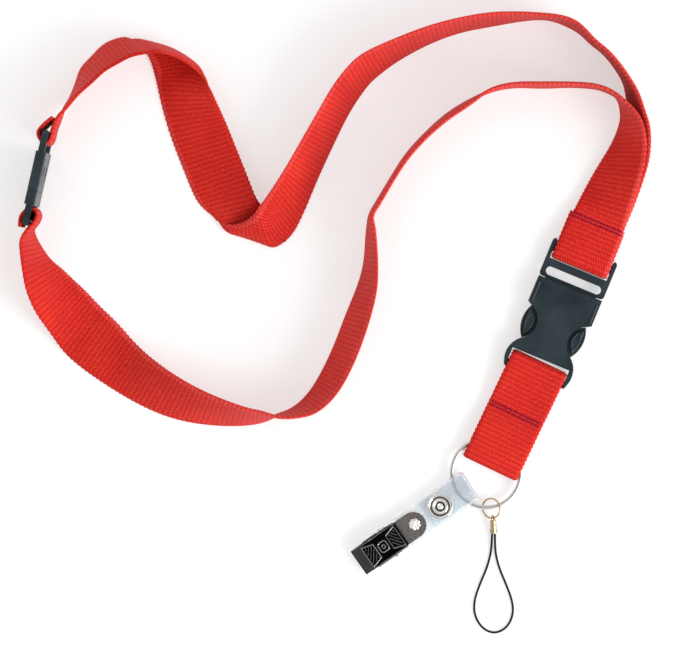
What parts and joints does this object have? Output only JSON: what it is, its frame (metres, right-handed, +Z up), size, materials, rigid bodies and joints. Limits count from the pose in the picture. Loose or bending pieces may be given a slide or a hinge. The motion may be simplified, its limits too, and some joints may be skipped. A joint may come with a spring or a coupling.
{
  "type": "neck lanyard",
  "caption": "Flat webbing neck lanyard with a side release buckle, safety breakaway, split ring, strap clip and phone loop, lying loosely folded on edge and flat.",
  "frame": {"origin": "on the resting plane, under the middle of the bounding box without the thin phone cord", "axes": "+X along the longest side, from the breakaway towards the buckle; +Y towards the top run of the neck strap; +Z up from the resting plane"},
  "size_m": [0.2126, 0.2096, 0.024],
  "materials": {
    "red_webbing": "ribbed woven polyester",
    "thread": "twisted sewing thread",
    "black_plastic": "satin moulded",
    "nickel": "polished nickel plate",
    "clip_steel": "polished plated sheet",
    "vinyl": "frosted clear vinyl",
    "brass": "polished",
    "black_cord": "fine braided nylon"
  },
  "bodies": {
    "neck_loop": {"neck_strap_upper": "red_webbing", "neck_strap_lower": "red_webbing", "neck_seam": "thread", "male_frame": "black_plastic", "breakaway_socket": "black_plastic"},
    "latch_left": {"latch_arm_left": "black_plastic"},
    "latch_right": {"latch_arm_right": "black_plastic"},
    "breakaway_plug_end": {"breakaway_plug": "black_plastic"},
    "female_buckle": {"female_housing": "black_plastic"},
    "lower_strap_loop": {"lower_strap": "red_webbing", "lower_seam": "thread"},
    "key_ring": {"split_ring": "nickel"},
    "badge_strap": {"vinyl_strap": "vinyl", "snap_cap": "nickel", "snap_socket": "nickel", "clip_rivet": "nickel", "clip_base_jaw": "clip_steel", "clip_pin": "nickel", "clip_spring": "nickel"},
    "snap_flap": {"vinyl_flap": "vinyl", "snap_stud": "nickel", "snap_back": "nickel"},
    "clip_lever": {"clip_lever_jaw": "clip_steel"},
    "phone_ring": {"jump_ring": "brass"},
    "phone_loop": {"crimp_sleeve": "brass", "phone_cord": "black_cord"}
  },
  "joints": [
    {"name": "buckle_release", "type": "slide", "parent": "neck_loop", "child": "female_buckle", "axis": [-0.3827, -0.9239, 0], "range_m": [0, 0.024]},
    {"name": "latch_left", "type": "hinge", "parent": "neck_loop", "child": "latch_left", "pos_m": [0.07225, 0.00186, 0.003], "axis": [0, 0, 1], "range_deg": [0, 4], "stiffness_Nm_per_rad": 0.5, "deforming": ["latch_arm_left"]},
    {"name": "latch_right", "type": "hinge", "parent": "neck_loop", "child": "latch_right", "pos_m": [0.08556, -0.00366, 0.003], "axis": [0, 0, -1], "range_deg": [0, 4], "stiffness_Nm_per_rad": 0.5, "deforming": ["latch_arm_right"]},
    {"name": "lower_strap_swing", "type": "hinge", "parent": "female_buckle", "child": "lower_strap_loop", "pos_m": [0.068, -0.02723, 0.003], "axis": [0.9026, -0.4305, 0], "range_deg": [-35, 40]},
    {"name": "ring_turn", "type": "hinge", "parent": "lower_strap_loop", "child": "key_ring", "pos_m": [0.05141, -0.06109, 0.0025], "axis": [0, 0, 1], "range_deg": [-22, 35]},
    {"name": "badge_flip", "type": "hinge", "parent": "key_ring", "child": "badge_strap", "pos_m": [0.04185, -0.06808, 0.0025], "axis": [0.5736, -0.8192, 0], "range_deg": [-20, 20]},
    {"name": "snap_flap_open", "type": "hinge", "parent": "badge_strap", "child": "snap_flap", "pos_m": [0.04627, -0.06499, 0.0012], "axis": [0.5736, -0.8192, 0], "range_deg": [0, 90], "stiffness_Nm_per_rad": 0.002},
    {"name": "clip_lever_press", "type": "hinge", "parent": "badge_strap", "child": "clip_lever", "pos_m": [0.01822, -0.08465, 0.0034], "axis": [-0.5736, 0.8192, 0], "range_deg": [0, 14], "stiffness_Nm_per_rad": 0.05, "deforming": ["clip_spring"]},
    {"name": "phone_ring_swing", "type": "hinge", "parent": "key_ring", "child": "phone_ring", "pos_m": [0.0532, -0.07243, 0.0025], "axis": [0.9854, 0.1701, 0], "range_deg": [-45, 60]},
    {"name": "phone_loop_swing", "type": "hinge", "parent": "phone_ring", "child": "phone_loop", "pos_m": [0.05378, -0.0763, 0.0025], "axis": [0.8454, 0.1411, 0.5152], "range_deg": [-50, 50]},
    {"name": "breakaway_release", "type": "slide", "parent": "neck_loop", "child": "breakaway_plug_end", "axis": [-0.2215, -0.9752, 0], "range_m": [0, 0.013], "deforming": ["neck_strap_lower"]}
  ],
  "couplings": [
    {"joint": "latch_right", "follows": "latch_left", "ratio": 1}
  ]
}
